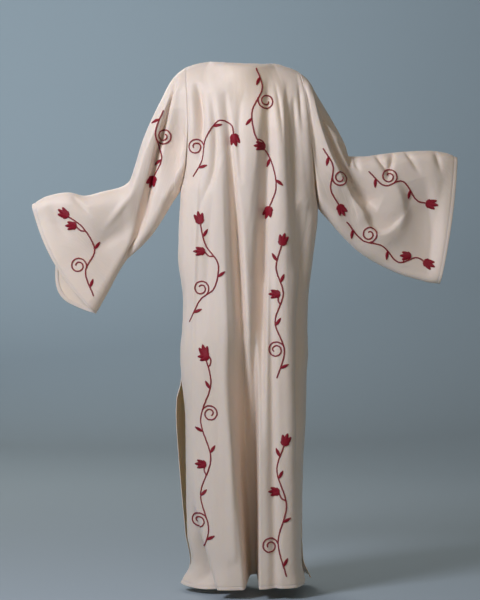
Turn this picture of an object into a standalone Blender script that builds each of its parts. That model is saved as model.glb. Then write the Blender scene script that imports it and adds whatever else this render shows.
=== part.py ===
"""A worn kaftan with its wide sleeves spread: a back panel, a front panel and two sleeves.

Each is one wall of cloth. Metres, +Z up. +Y is behind the wearer and +X is to the wearer's left. The
origin is where the shoulders hold the garment up: between the neck points, on the shoulder line. The
cloth hangs from there to a hem that clears the floor.
"""

import bmesh
import bpy
import numpy as np

# The cut.
WALL = 0.002  # thickness of the satin with its turnings
SEAM_GAP = 0.00036  # between the two walls that a seam joins
CORNER_GAP = 0.0012  # the same where three walls meet under the arm
LENGTH = 1.472  # shoulder line to hem
ARMHOLE = 0.38  # shoulder to underarm, down the cloth
SLIT_TOP = 0.88  # shoulder to the top of each side slit
NECK_X = 0.009  # middle of the neck opening
NECK_HALF = 0.084  # half its width
NECK_BACK = 0.062  # how far it curves behind the shoulder line
NECK_FRONT = 0.078  # how far it curves before the shoulder line
NECK_DIP = 0.010  # how far the back neck edge drops
NECK_SCOOP = 0.135  # how far the front neck edge drops
SHOULDER_RISE = 0.018  # height of the neck point over the shoulder point
SEAM_FORWARD = 0.008  # how far the shoulder seam lies before the shoulder line
HEM_LIFT = 0.16  # how much of a fold's depth draws the hem up

# How finely each piece is divided.
ARMHOLE_ROWS = 13
SKIRT_ROWS = 20
BACK_COLUMNS = 60
FRONT_COLUMNS = 28
SLEEVE_RINGS = 24
SAMPLES = 601  # points on a section before it is divided evenly

# The edges of the body panels from the shoulder seam down, how far down the cloth each place is first. An
# edge is the armhole down to the underarm, the side seam below it and the slit below that. flare_left and
# flare_right let the front panel swing out past the back one.
OUTLINE_COLUMNS = ("down", "left_x", "left_z", "right_x", "right_z", "flare_left", "flare_right")
OUTLINE = {
    "shoulder seam": (0.000, 0.161, -0.014, -0.150, -0.026, 0.000, 0.000),
    "shoulder top": (0.030, 0.163, -0.026, -0.157, -0.038, 0.000, 0.000),
    "shoulder edge": (0.070, 0.163, -0.054, -0.165, -0.068, 0.000, 0.000),
    "blade top": (0.130, 0.160, -0.110, -0.176, -0.125, 0.000, 0.000),
    "blade": (0.210, 0.158, -0.190, -0.186, -0.212, 0.000, 0.000),
    "under blade": (0.300, 0.162, -0.285, -0.198, -0.318, 0.000, 0.000),
    "above underarm": (0.350, 0.170, -0.334, -0.204, -0.378, 0.000, 0.000),
    "underarm": (0.380, 0.178, -0.365, -0.209, -0.416, 0.000, 0.000),
    "waist": (0.560, 0.186, -0.555, -0.194, -0.565, 0.000, 0.000),
    "low waist": (0.680, 0.172, -0.680, -0.181, -0.684, 0.000, 0.000),
    "hip": (0.760, 0.175, -0.760, -0.179, -0.764, 0.002, 0.000),
    "over the slit": (0.820, 0.180, -0.820, -0.181, -0.822, 0.003, 0.000),
    "slit top": (0.880, 0.178, -0.880, -0.177, -0.880, 0.008, 0.000),
    "thigh": (1.010, 0.166, -1.010, -0.174, -1.010, 0.027, 0.000),
    "knee": (1.160, 0.164, -1.160, -0.165, -1.160, 0.019, 0.002),
    "shin": (1.330, 0.161, -1.330, -0.162, -1.330, 0.007, 0.003),
    "hem": (1.472, 0.176, -1.476, -0.170, -1.466, -0.010, 0.018),
}

# The body's sections at the same places. back and front are how far the cloth stands behind and before the
# side line at its middle, back_edge is the same at the back panel's edges, and apart is from there forward
# to the front panel's edges: the width of the armhole, nothing where the side seam joins them, and the
# open slit. round bends the section: 1 is a gentle bow that a sleeve carries on, and under a half turns
# the cloth in to the side seam. square_left and square_right keep it flat further out on each side.
SECTION_COLUMNS = ("down", "back", "back_edge", "front", "apart", "round", "square_left", "square_right")
SECTION = {
    "shoulder seam": (0.000, 0.000, 0.000, 0.000, 0.000, 1.00, 2.4, 2.4),
    "shoulder top": (0.030, 0.030, 0.024, 0.028, 0.046, 1.00, 2.4, 2.4),
    "shoulder edge": (0.070, 0.064, 0.050, 0.060, 0.096, 1.00, 2.4, 2.4),
    "blade top": (0.130, 0.096, 0.066, 0.090, 0.130, 1.00, 2.4, 2.8),
    "blade": (0.210, 0.114, 0.066, 0.114, 0.134, 0.90, 2.5, 3.4),
    "under blade": (0.300, 0.114, 0.040, 0.120, 0.084, 0.68, 2.7, 4.0),
    "above underarm": (0.350, 0.112, 0.014, 0.120, 0.032, 0.53, 2.8, 4.4),
    "underarm": (0.380, 0.110, 0.000, 0.118, 0.000, 0.46, 2.9, 4.6),
    "waist": (0.560, 0.104, 0.000, 0.114, 0.000, 0.45, 3.0, 5.2),
    "hip": (0.760, 0.116, 0.010, 0.118, 0.000, 0.46, 2.8, 7.5),
    "slit top": (0.880, 0.122, 0.012, 0.122, 0.000, 0.48, 2.6, 10.0),
    "thigh": (1.010, 0.127, 0.016, 0.128, 0.012, 0.52, 2.4, 13.0),
    "knee": (1.160, 0.133, 0.018, 0.134, 0.016, 0.56, 2.4, 13.0),
    "shin": (1.330, 0.141, 0.010, 0.142, 0.016, 0.58, 2.4, 13.0),
    "hem": (1.472, 0.150, -0.026, 0.150, 0.014, 0.58, 2.4, 13.0),
}

# Each row is one fold as it runs, seen square from behind for the back and the back layer of a sleeve, and
# through the garment for the others. depth is how far the cloth sinks at its start, middle and end, and
# less than nothing is a ridge. near and far are its half-widths at the end, near on the +X side of a fold
# that runs down, and spread is the share of them at its start. flat is 2 for a soft trough, less for a
# sharp crease and 5 for steep sides.
FOLD_COLUMNS = (
    "x0", "z0", "x1", "z1", "x2", "z2", "depth0", "depth1", "depth2", "near", "far", "spread", "flat",
)
BACK_FOLDS = {
    "deep back fold": (
        -0.020, -0.790, -0.029, -1.120, -0.032, -1.472,
        0.006, 0.124, 0.190, 0.022, 0.0060, 3.0, 5,
    ),
    "fold over the seat": (
        -0.066, -0.400, -0.052, -0.720, -0.046, -1.060,
        0.010, 0.044, 0.004, 0.038, 0.010, 0.5, 2,
    ),
    "fold by the spine": (
        0.052, -0.110, 0.010, -0.660, -0.004, -1.240,
        0.003, 0.040, 0.006, 0.023, 0.014, 0.5, 2,
    ),
    "fold under the blade": (
        -0.068, -0.070, -0.064, -0.300, -0.050, -0.600,
        0.004, 0.022, 0.008, 0.023, 0.034, 0.4, 2,
    ),
    "fold beside the deep one": (
        -0.070, -0.480, -0.077, -0.920, -0.085, -1.472,
        0.002, 0.012, 0.011, 0.015, 0.012, 0.7, 2,
    ),
    "hollow down the right": (
        -0.174, -0.440, -0.172, -0.860, -0.168, -1.300,
        0.010, 0.030, 0.001, 0.026, 0.028, 1.0, 2,
    ),
    "right armhole fold": (
        -0.120, -0.080, -0.140, -0.280, -0.154, -0.560,
        0.004, 0.026, 0.010, 0.022, 0.050, 0.5, 1.8,
    ),
    "left armhole fold": (
        0.130, -0.080, 0.124, -0.170, 0.128, -0.320,
        0.008, 0.024, 0.002, 0.014, 0.010, 0.8, 1.8,
    ),
    "left corner fold": (
        0.148, -1.310, 0.118, -1.400, 0.082, -1.500,
        0.004, 0.034, 0.085, 0.055, 0.014, 1.0, 2,
    ),
}
FRONT_FOLDS = {
    "middle front fold": (
        0.010, -0.330, -0.004, -0.900, -0.022, -1.472,
        0.003, 0.030, 0.070, 0.026, 0.024, 1.00, 2,
    ),
    "left front fold": (
        0.074, -0.300, 0.086, -0.860, 0.090, -1.472,
        0.003, 0.022, 0.046, 0.022, 0.020, 1.00, 2,
    ),
    "right front fold": (
        -0.080, -0.280, -0.092, -0.900, -0.104, -1.472,
        0.003, 0.026, 0.055, 0.020, 0.024, 1.00, 2,
    ),
}

# The sleeves, section by section from the armhole to the cuff. top is the edge that lies along the arm and
# low is the edge that hangs. arm and hang are the half thickness round the arm and in the hanging cloth,
# depth is how far behind the shoulder line the arm lies, and back_bow and front_bow carry the two layers
# out past the straight line.
SLEEVE_COLUMNS = ("top_x", "top_z", "low_x", "low_z", "depth", "arm", "hang", "back_bow", "front_bow")
LEFT_SLEEVE = {
    "shoulder point": (0.188, -0.036, 0.186, -0.378, 0.000, 0.058, 0.048, 0.000, 0.000),
    "shoulder": (0.209, -0.061, 0.199, -0.396, -0.001, 0.056, 0.046, 0.000, 0.000),
    "upper arm": (0.232, -0.105, 0.215, -0.422, -0.003, 0.054, 0.044, 0.000, 0.000),
    "middle arm": (0.260, -0.160, 0.235, -0.455, -0.007, 0.054, 0.041, 0.000, 0.000),
    "lower arm": (0.289, -0.228, 0.263, -0.494, -0.013, 0.052, 0.035, 0.000, 0.000),
    "above the elbow": (0.311, -0.298, 0.288, -0.521, -0.019, 0.050, 0.030, 0.000, 0.000),
    "elbow": (0.326, -0.339, 0.310, -0.541, -0.021, 0.049, 0.028, 0.001, 0.001),
    "under the elbow": (0.350, -0.355, 0.332, -0.561, -0.022, 0.048, 0.026, 0.002, 0.003),
    "forearm": (0.402, -0.368, 0.356, -0.598, -0.018, 0.046, 0.024, 0.006, 0.010),
    "middle forearm": (0.453, -0.380, 0.378, -0.641, -0.012, 0.043, 0.024, 0.011, 0.021),
    "wrist": (0.497, -0.371, 0.391, -0.665, -0.008, 0.038, 0.026, 0.016, 0.034),
    "hand": (0.555, -0.381, 0.406, -0.692, -0.006, 0.030, 0.028, 0.023, 0.049),
    "cuff": (0.600, -0.405, 0.419, -0.715, -0.006, 0.020, 0.027, 0.028, 0.060),
}
RIGHT_SLEEVE = {
    "shoulder point": (-0.180, -0.053, -0.215, -0.424, 0.000, 0.058, 0.048, 0.000, 0.000),
    "upper arm": (-0.211, -0.104, -0.238, -0.450, -0.002, 0.056, 0.045, 0.000, 0.000),
    "middle arm": (-0.244, -0.158, -0.262, -0.477, -0.006, 0.054, 0.042, 0.000, 0.000),
    "lower arm": (-0.272, -0.206, -0.286, -0.503, -0.012, 0.051, 0.036, 0.000, 0.000),
    "above the elbow": (-0.289, -0.240, -0.307, -0.523, -0.017, 0.049, 0.032, 0.000, 0.000),
    "elbow": (-0.299, -0.268, -0.328, -0.541, -0.020, 0.048, 0.030, 0.000, 0.000),
    "forearm": (-0.338, -0.268, -0.366, -0.566, -0.022, 0.046, 0.028, 0.000, 0.000),
    "middle forearm": (-0.395, -0.261, -0.411, -0.589, -0.018, 0.043, 0.027, 0.002, 0.000),
    "lower forearm": (-0.456, -0.255, -0.454, -0.607, -0.012, 0.040, 0.026, 0.004, 0.000),
    "wrist": (-0.524, -0.253, -0.496, -0.619, -0.008, 0.036, 0.025, 0.006, 0.002),
    "hand": (-0.570, -0.259, -0.528, -0.627, -0.006, 0.028, 0.024, 0.010, 0.006),
    "cuff": (-0.604, -0.272, -0.554, -0.630, -0.006, 0.020, 0.022, 0.014, 0.010),
}
LEFT_SLEEVE_BACK = {
    "long crease": (0.196, -0.062, 0.259, -0.325, 0.330, -0.572, 0.006, 0.020, 0.018, 0.022, 0.024, 0.8, 2),
    "hand hollow": (0.546, -0.412, 0.524, -0.462, 0.490, -0.508, 0.001, 0.006, 0.001, 0.014, 0.014, 1.0, 2),
    "fold by the body": (
        0.170, -0.140, 0.180, -0.260, 0.192, -0.380,
        0.004, 0.024, 0.006, 0.058, 0.020, 1.0, 2,
    ),
}
LEFT_SLEEVE_FRONT = {
    "long crease": (0.200, -0.090, 0.268, -0.320, 0.330, -0.540, 0.006, 0.020, 0.010, 0.022, 0.022, 0.8, 2),
    "forearm hollow": (
        0.400, -0.430, 0.430, -0.510, 0.440, -0.590,
        0.002, 0.010, 0.002, 0.020, 0.020, 1.0, 2,
    ),
}
RIGHT_SLEEVE_BACK = {
    "edge of the long crease": (
        -0.180, -0.080, -0.238, -0.275, -0.326, -0.430,
        -0.004, -0.013, -0.010, 0.036, 0.022, 0.8, 2,
    ),
    "long crease": (
        -0.204, -0.086, -0.270, -0.275, -0.350, -0.400,
        0.004, 0.022, 0.008, 0.020, 0.036, 0.8, 2,
    ),
    "swag": (-0.328, -0.430, -0.388, -0.492, -0.462, -0.416, -0.010, -0.013, -0.001, 0.026, 0.018, 1.0, 2),
    "hollow above the swag": (
        -0.320, -0.378, -0.384, -0.448, -0.436, -0.400,
        0.004, 0.008, 0.001, 0.018, 0.022, 1.0, 2,
    ),
    "elbow tuck": (-0.276, -0.228, -0.290, -0.262, -0.304, -0.300, 0.006, 0.009, 0.001, 0.015, 0.015, 1.0, 2),
    "hollow in the hanging cloth": (
        -0.470, -0.310, -0.492, -0.450, -0.498, -0.590,
        0.004, 0.022, 0.016, 0.075, 0.026, 0.8, 2,
    ),
}
RIGHT_SLEEVE_FRONT = {
    "long crease": (
        -0.195, -0.110, -0.262, -0.290, -0.330, -0.450,
        0.005, 0.018, 0.008, 0.022, 0.022, 0.8, 2,
    ),
    "forearm hollow": (
        -0.420, -0.330, -0.440, -0.430, -0.430, -0.520,
        0.002, 0.010, 0.002, 0.022, 0.022, 1.0, 2,
    ),
}


def named(columns, table):
    """The columns of a table as arrays, by name."""
    return dict(zip(columns, np.array(list(table.values()), float).T))


def smooth(t):
    """0 to 1 with flat ends."""
    t = np.clip(t, 0.0, 1.0)
    return t * t * (3.0 - 2.0 * t)


def unit(vectors):
    return vectors / np.maximum(np.linalg.norm(vectors, axis=-1, keepdims=True), 1e-12)


def through(stations, values, at):
    """A curve through values at the stations that never swings past them, read at the given places."""
    stations = np.asarray(stations, float)
    values = np.asarray(values, float)
    shape = (-1,) + (1,) * (values.ndim - 1)
    step = np.diff(stations).reshape(shape)
    rise = np.diff(values, axis=0) / step
    slope = np.zeros_like(values)
    before, after = rise[:-1], rise[1:]
    same_way = before * after > 0
    both = np.where(same_way, before + after, 1.0)
    slope[1:-1] = np.where(same_way, 2.0 * before * after / both, 0.0)
    slope[0], slope[-1] = rise[0], rise[-1]
    k = np.clip(np.searchsorted(stations, at, side="right") - 1, 0, len(stations) - 2)
    t = ((np.asarray(at, float) - stations[k]) / np.diff(stations)[k]).reshape(shape)
    h = step[k]
    return (
        values[k] * (1 + 2 * t) * (1 - t) ** 2
        + values[k + 1] * t * t * (3 - 2 * t)
        + slope[k] * h * t * (1 - t) ** 2
        + slope[k + 1] * h * t * t * (t - 1)
    )


def evenly(curve, count):
    """A curve's points again, count steps of equal length."""
    length = np.linalg.norm(np.diff(curve, axis=0), axis=1)
    along = np.concatenate([[0.0], np.cumsum(length)])
    at = np.linspace(0.0, along[-1], count + 1)
    return np.stack([np.interp(at, along, curve[:, axis]) for axis in range(3)], axis=1)


def sunk_by(folds, x, z):
    """How far the folds sink the cloth at each place."""
    total = np.zeros_like(x)
    along = np.linspace(0.0, 1.0, 33)
    for row in folds.values():
        fold = dict(zip(FOLD_COLUMNS, row))
        route = []
        for axis in "xz":
            start, middle, end = (fold[axis + place] for place in "012")
            control = 2 * middle - (start + end) / 2
            route.append((1 - along) ** 2 * start + 2 * along * (1 - along) * control + along**2 * end)
        route = np.stack(route, axis=1)
        nearest = np.full(x.shape, 1e9)
        beside, place = np.zeros_like(x), np.zeros_like(x)
        for here, there, start, end in zip(route, route[1:], along, along[1:]):
            way = there - here
            share = np.clip(((x - here[0]) * way[0] + (z - here[1]) * way[1]) / (way @ way), 0.0, 1.0)
            off_x = x - here[0] - share * way[0]
            off_z = z - here[1] - share * way[1]
            away = np.hypot(off_x, off_z)
            closer = away < nearest
            nearest = np.where(closer, away, nearest)
            turned = (off_z * way[0] - off_x * way[1]) / np.linalg.norm(way)
            beside = np.where(closer, turned / np.maximum(away, 1e-9), beside)
            place = np.where(closer, start + share * (end - start), place)
        half = fold["far"] + (fold["near"] - fold["far"]) * (1.0 + beside) / 2
        half = half * (fold["spread"] + (1.0 - fold["spread"]) * place)
        depths = [fold["depth" + place_name] for place_name in "012"]
        depth = through((0.0, 0.5, 1.0), depths, place.ravel()).reshape(x.shape)
        total += depth * np.exp(-((nearest / half) ** fold["flat"]))
    return total


def body_rows():
    """How far down the cloth each row of the body panels lies."""
    upper = np.linspace(0.0, ARMHOLE, ARMHOLE_ROWS + 1)
    lower = np.linspace(ARMHOLE, LENGTH, SKIRT_ROWS + 1)
    return np.concatenate([upper, lower[1:]])


def body_panel(side, folds, columns):
    """The outer face of the back (side 1) or the front (side -1), with a point on each row and column."""
    outline, section = named(OUTLINE_COLUMNS, OUTLINE), named(SECTION_COLUMNS, SECTION)
    rows = body_rows()
    at = {name: through(outline["down"], outline[name], rows)[:, None] for name in OUTLINE_COLUMNS[1:]}
    at |= {name: through(section["down"], section[name], rows)[:, None] for name in SECTION_COLUMNS[1:]}
    across = -np.sin(np.linspace(-0.5, 0.5, SAMPLES) * np.pi)[None, :] * side
    left, right = at["left_x"], at["right_x"]
    middle, bow = at["back"], at["back_edge"]
    neck_reach, neck_drop = NECK_BACK, NECK_DIP
    if side < 0:
        middle, bow = at["front"], at["apart"] - at["back_edge"]
        neck_reach, neck_drop = NECK_FRONT, NECK_SCOOP
    share = (1.0 + across) / 2
    x = right + (left - right) * share
    if side < 0:
        sewn = 1.0 - smooth((rows[:, None] - SLIT_TOP) / 0.08)
        swing = smooth((np.abs(across) - 0.70) / 0.22) * (1.0 - sewn * smooth((np.abs(across) - 0.93) / 0.07))
        x = x + swing * np.where(across > 0, at["flare_left"], -at["flare_right"])
    square = np.where(across > 0, at["square_left"], at["square_right"])
    crown = np.maximum(1.0 - np.abs(across) ** square, 0.0) ** at["round"]
    out = bow + (middle - bow) * crown
    down = rows[:, None]
    from_neck = (x - NECK_X) / (NECK_HALF * (1.0 + 4.0 * down))
    neck = np.clip(1.0 - from_neck**2, 0.0, 1.0) ** (0.5 + 1.3 * smooth(down / 0.08))
    out = out + neck * neck_reach * (1.0 - smooth(down / 0.16))
    shoulder_point = np.where(x > NECK_X, outline["left_x"][0], -outline["right_x"][0])
    slope = np.clip((shoulder_point - np.abs(x)) / (shoulder_point - NECK_HALF), 0.0, 1.0)
    z = at["right_z"] + (at["left_z"] - at["right_z"]) * share
    z = z + SHOULDER_RISE * (1.0 - (1.0 - slope) ** 1.5) * (1.0 - smooth(down / 0.24))
    z = z - neck_drop * neck * (1.0 - smooth(down / (ARMHOLE + 0.10)))
    y = side * out - SEAM_FORWARD * (1.0 - smooth(down / 0.04))
    base = np.stack([x, y, z], axis=-1)
    normal = unit(np.cross(np.gradient(base, axis=0), np.gradient(base, axis=1)))
    seam = (1.0 - np.abs(across)) * (left - right) / 2
    free = smooth(seam / 0.020) * smooth((down - 0.03) / 0.09)
    sunk = sunk_by(folds, x, z) * free
    folded = base - normal * sunk[..., None]
    folded[..., 2] += HEM_LIFT * np.maximum(sunk, 0.0) * (down / LENGTH) ** 6
    return np.stack([evenly(row, columns) for row in folded])


def sleeve_loop(section, columns):
    """One ring of a sleeve: down the back layer from the arm to the hanging edge, and up the front layer."""
    top = np.array([section["top_x"], section["depth"], section["top_z"]])
    low = np.array([section["low_x"], section["depth"], section["low_z"]])
    chord = low - top
    length = np.linalg.norm(chord)
    outward = np.array([-chord[2], 0.0, chord[0]]) / length * np.sign(section["top_x"])
    h = (1.0 - np.cos(np.linspace(0.0, np.pi, SAMPLES))) / 2
    arm, hang = section["arm"], section["hang"]
    top_end = np.minimum(h * length / arm, 1.0)
    low_end = np.minimum((1.0 - h) * length / (1.3 * hang), 1.0)
    thick = hang + (arm - hang) * (1.0 - smooth((h - arm / length) / 0.45))
    thick = thick * np.sqrt(1 - (1 - top_end) ** 2) * np.sqrt(1 - (1 - low_end) ** 2)
    bulge = (4 * h * (1 - h))[:, None] * outward
    sag = 1.25 * smooth((h[:, None] - 0.28) / 0.55)  # the front layer hangs out low down
    behind = np.array([0.0, 1.0, 0.0])
    line = top + chord * h[:, None]
    back_layer = evenly(line + bulge * section["back_bow"] + behind * thick[:, None], columns)
    front_layer = evenly(line + bulge * sag * section["front_bow"] - behind * thick[:, None], columns)
    return np.concatenate([back_layer, front_layer[-2:0:-1]])


def panel_normals(points):
    return unit(np.cross(np.gradient(points, axis=0), np.gradient(points, axis=1)))


def tube_normals(points, side):
    around_way = np.roll(points, -1, axis=1) - np.roll(points, 1, axis=1)
    return unit(np.cross(np.gradient(points, axis=0), around_way)) * side


def sleeve(armhole, table, back_folds, front_folds):
    """The outer face of a sleeve as rings of points, the first of them the armhole of the body."""
    columns = ARMHOLE_ROWS
    sections = [dict(zip(SLEEVE_COLUMNS, row)) for row in table.values()]
    loops = np.stack([armhole] + [sleeve_loop(section, columns) for section in sections])
    apart = np.linalg.norm(np.diff(loops, axis=0), axis=-1).mean(axis=1)
    stations = np.concatenate([[0.0], np.cumsum(apart)])
    at = np.linspace(0.0, stations[-1], SLEEVE_RINGS + 1)
    base = through(stations, loops, at)
    normal = tube_normals(base, np.sign(sections[-1]["top_x"]))
    sunk = np.zeros(base.shape[:2])
    x, z = base[..., 0], base[..., 2]
    behind, before = slice(0, columns + 1), slice(columns, None)
    sunk[:, behind] = sunk_by(back_folds, x[:, behind], z[:, behind])
    sunk[:, before] = sunk_by(front_folds, x[:, before], z[:, before])
    around = np.arange(2 * columns)
    from_edge = np.minimum(around % columns, columns - around % columns)[None, :] / columns
    sunk = sunk * smooth(from_edge / 0.09) * smooth(at / 0.04)[:, None]
    return base - normal * sunk[..., None]


def armhole_of(back, front, left):
    """The ring where a sleeve starts: down the back panel's edge to the underarm and up the front panel's."""
    rows = ARMHOLE_ROWS
    behind = back[: rows + 1, 0 if left else -1]
    before = front[rows - 1 : 0 : -1, -1 if left else 0]
    return np.concatenate([behind, before])


def meet(edges, along=(0.0, 0.0, 0.0), gap=SEAM_GAP):
    """Parts the walls that meet at one place of a seam, and has them all thick in the same direction.

    Each edge is a piece's points, its outward directions, the index on the seam and the index of the next
    point in. along is the way the seam runs, which the parting leaves out.
    """
    shared = unit(sum(out[index] for points, out, index, inner in edges))
    inward = [unit(points[inner] - points[index]) for points, out, index, inner in edges]
    total = sum(inward)
    for (points, out, index, inner), own in zip(edges, inward):
        away = own - (total - own) / (len(edges) - 1)
        away = unit(away - np.dot(away, along) * np.asarray(along))
        points[index] += away * gap / 2
        out[index] = shared


def join_pieces(back, front, left, right):
    """Works out every seam. Each piece is its points and their outward directions."""
    last = ARMHOLE_ROWS
    round_hole = 2 * ARMHOLE_ROWS
    slit_row = int(np.searchsorted(body_rows(), SLIT_TOP))
    for tube, b, b_in, f, f_in in ((left, 0, 1, -1, -2), (right, -1, -2, 0, 1)):
        back_way = unit(np.gradient(back[0][:, b], axis=0))
        front_way = unit(np.gradient(front[0][:, f], axis=0))
        meet([(*back, (0, b), (1, b_in)), (*front, (0, f), (1, f_in)), (*tube, (0, 0), (1, 0))])
        underarm = [
            (*back, (last, b), (last + 1, b_in)),
            (*front, (last, f), (last + 1, f_in)),
            (*tube, (0, last), (1, last)),
        ]
        into_sleeve = tube[1][0, last].copy()
        meet(underarm, gap=CORNER_GAP)
        tube[1][0, last] = into_sleeve  # the tip of the sleeve is thick on its own inner side
        for row in range(1, last):
            other = round_hole - row
            meet([(*back, (row, b), (row, b_in)), (*tube, (0, row), (1, row))], back_way[row])
            meet([(*front, (row, f), (row, f_in)), (*tube, (0, other), (1, other))], front_way[row])
        for row in range(last + 1, slit_row + 1):
            meet([(*back, (row, b), (row, b_in)), (*front, (row, f), (row, f_in))], back_way[row])
    for (points, out), way in ((back, 1.0), (front, -1.0)):
        on_shoulder = np.abs(points[0, :, 0] - NECK_X) > NECK_HALF
        on_shoulder[[0, -1]] = False
        points[0, on_shoulder, 1] += way * SEAM_GAP / 2
        out[0, on_shoulder, 1] = 0.0
        out[0] = unit(out[0])


def satin(name):
    material = bpy.data.materials.new("cream satin of the " + name)
    material.use_nodes = True
    shader = material.node_tree.nodes["Principled BSDF"]
    shader.inputs["Base Color"].default_value = (0.84, 0.72, 0.61, 1.0)
    shader.inputs["Roughness"].default_value = 0.5
    shader.inputs["Metallic"].default_value = 0.0
    return material


def cloth_wall(name, outer, normals, tube):
    """One closed wall of cloth: the outer face, the inner face one thickness behind it, and the cut edges.

    Each patch is split along its shorter diagonal, the same one on both faces, so the wall stays as thick.
    """
    rows, columns = outer.shape[:2]
    inner = outer - normals * WALL
    points = np.concatenate([outer.reshape(-1, 3), inner.reshape(-1, 3)])
    count = rows * columns
    turns = columns if tube else columns - 1

    def at(layer, row, column):
        return layer * count + row * columns + column % columns

    faces = []
    for row in range(rows - 1):
        for column in range(turns):
            corners = [(row, column), (row + 1, column), (row + 1, column + 1), (row, column + 1)]
            a, b, c, d = (points[at(0, *corner)] for corner in corners)
            if np.linalg.norm(b - d) < np.linalg.norm(a - c):
                corners = corners[1:] + corners[:1]
            for layer in (0, 1):
                first, second, third, fourth = (at(layer, *corner) for corner in corners)
                for triangle in ((first, second, third), (first, third, fourth)):
                    faces.append(triangle if layer == 0 else triangle[::-1])
    edges = [[(row, column) for column in range(turns + 1)] for row in (0, rows - 1)]
    if not tube:
        edges += [[(row, column) for row in range(rows)] for column in (0, columns - 1)]
    for edge in edges:
        for here, there in zip(edge, edge[1:]):
            if points[at(0, *here)][2] < points[at(0, *there)][2]:
                here, there = there, here  # both walls of a seam are split from the higher end
            faces.append((at(0, *here), at(0, *there), at(1, *there)))
            faces.append((at(0, *here), at(1, *there), at(1, *here)))

    mesh = bpy.data.meshes.new(name)
    mesh.from_pydata(points.tolist(), [], faces)
    bm = bmesh.new()
    bm.from_mesh(mesh)
    bmesh.ops.recalc_face_normals(bm, faces=bm.faces)
    bm.to_mesh(mesh)
    bm.free()
    mesh.shade_smooth()
    mesh.set_sharp_from_angle(angle=np.radians(60))
    mesh.materials.append(satin(name.replace("_", " ")))
    cloth = bpy.data.objects.new(name, mesh)
    bpy.context.scene.collection.objects.link(cloth)
    return cloth


def main():
    for old in list(bpy.data.objects):
        bpy.data.objects.remove(old)

    back = body_panel(1, BACK_FOLDS, BACK_COLUMNS)
    front = body_panel(-1, FRONT_FOLDS, FRONT_COLUMNS)
    left_hole, right_hole = armhole_of(back, front, True), armhole_of(back, front, False)
    left = sleeve(left_hole, LEFT_SLEEVE, LEFT_SLEEVE_BACK, LEFT_SLEEVE_FRONT)
    right = sleeve(right_hole, RIGHT_SLEEVE, RIGHT_SLEEVE_BACK, RIGHT_SLEEVE_FRONT)

    back_out, front_out = panel_normals(back), panel_normals(front)
    left_out, right_out = tube_normals(left, 1.0), tube_normals(right, -1.0)
    join_pieces((back, back_out), (front, front_out), (left, left_out), (right, right_out))

    cloth_wall("back", back, back_out, False)
    cloth_wall("front", front, front_out, False)
    cloth_wall("sleeve_left", left, left_out, True)
    cloth_wall("sleeve_right", right, right_out, True)


main()
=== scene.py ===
"""A cream satin kaftan seen from behind, its wide sleeves spread, with dark red vines worked by hand.

Metres, +Z up. +Y is the gown's back, +X is its left as it is worn, and the origin is between the neck points.
"""

import bmesh
import bpy
import numpy as np
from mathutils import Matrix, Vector
from mathutils.bvhtree import BVHTree


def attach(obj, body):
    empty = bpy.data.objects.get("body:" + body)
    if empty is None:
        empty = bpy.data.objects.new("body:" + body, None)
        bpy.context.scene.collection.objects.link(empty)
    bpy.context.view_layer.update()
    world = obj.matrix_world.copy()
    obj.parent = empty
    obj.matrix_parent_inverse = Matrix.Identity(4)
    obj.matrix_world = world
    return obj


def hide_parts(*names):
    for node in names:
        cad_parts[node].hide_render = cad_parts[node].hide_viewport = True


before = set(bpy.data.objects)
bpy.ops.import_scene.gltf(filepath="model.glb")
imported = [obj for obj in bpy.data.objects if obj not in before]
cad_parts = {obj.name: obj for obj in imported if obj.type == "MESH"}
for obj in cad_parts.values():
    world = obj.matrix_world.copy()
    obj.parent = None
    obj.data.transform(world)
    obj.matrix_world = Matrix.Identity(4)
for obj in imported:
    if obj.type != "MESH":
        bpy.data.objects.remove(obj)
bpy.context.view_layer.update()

# The back panel
# The back is one length of soft satin crepe from the shoulders to the hem. It is cut wide and straight, so
# it falls in long folds from the upper back, with a deep one under itself at the middle. The hem is turned
# in and sewn.
LENGTH = 1.472
ARMHOLE = 0.38
SLIT_TOP = 0.88
NECK_X = 0.009
NECK_HALF = 0.084
NECK_BACK = 0.062
NECK_FRONT = 0.078
NECK_DIP = 0.010
NECK_SCOOP = 0.135
SHOULDER_RISE = 0.018
SEAM_FORWARD = 0.008  # how far the shoulder seam lies before the shoulder line
HEM_LIFT = 0.16
HEM_WIDTH = 0.010
HEM_STEP = 0.0026  # how far in the turned layer lies
HEM_STITCHES = 0.0016  # how far they lie from the edge of the turned layer
SEAM_DIP = 0.0013  # how far the stitches draw the cloth in along a seam
SEAM_REACH = 0.0024
NEAR_SEAM = (0.0, 0.0013, 0.0028, 0.0048, 0.0078)  # where the first points lie beside a seam
PUCKER_DEPTH = 0.0008
PUCKER_SIZE = 0.016
PUCKER_REACH = 0.014
SOFT_WAVES = (0.0016, 0.030, 0.34)  # depth, width and height
FINE_WAVES = (0.0007, 0.013, 0.11)
CLOTH_THICK = 0.0011
ARMHOLE_ROWS = 116
SKIRT_ROWS = 112
BACK_COLUMNS = 212
SAMPLES = 900

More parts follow.
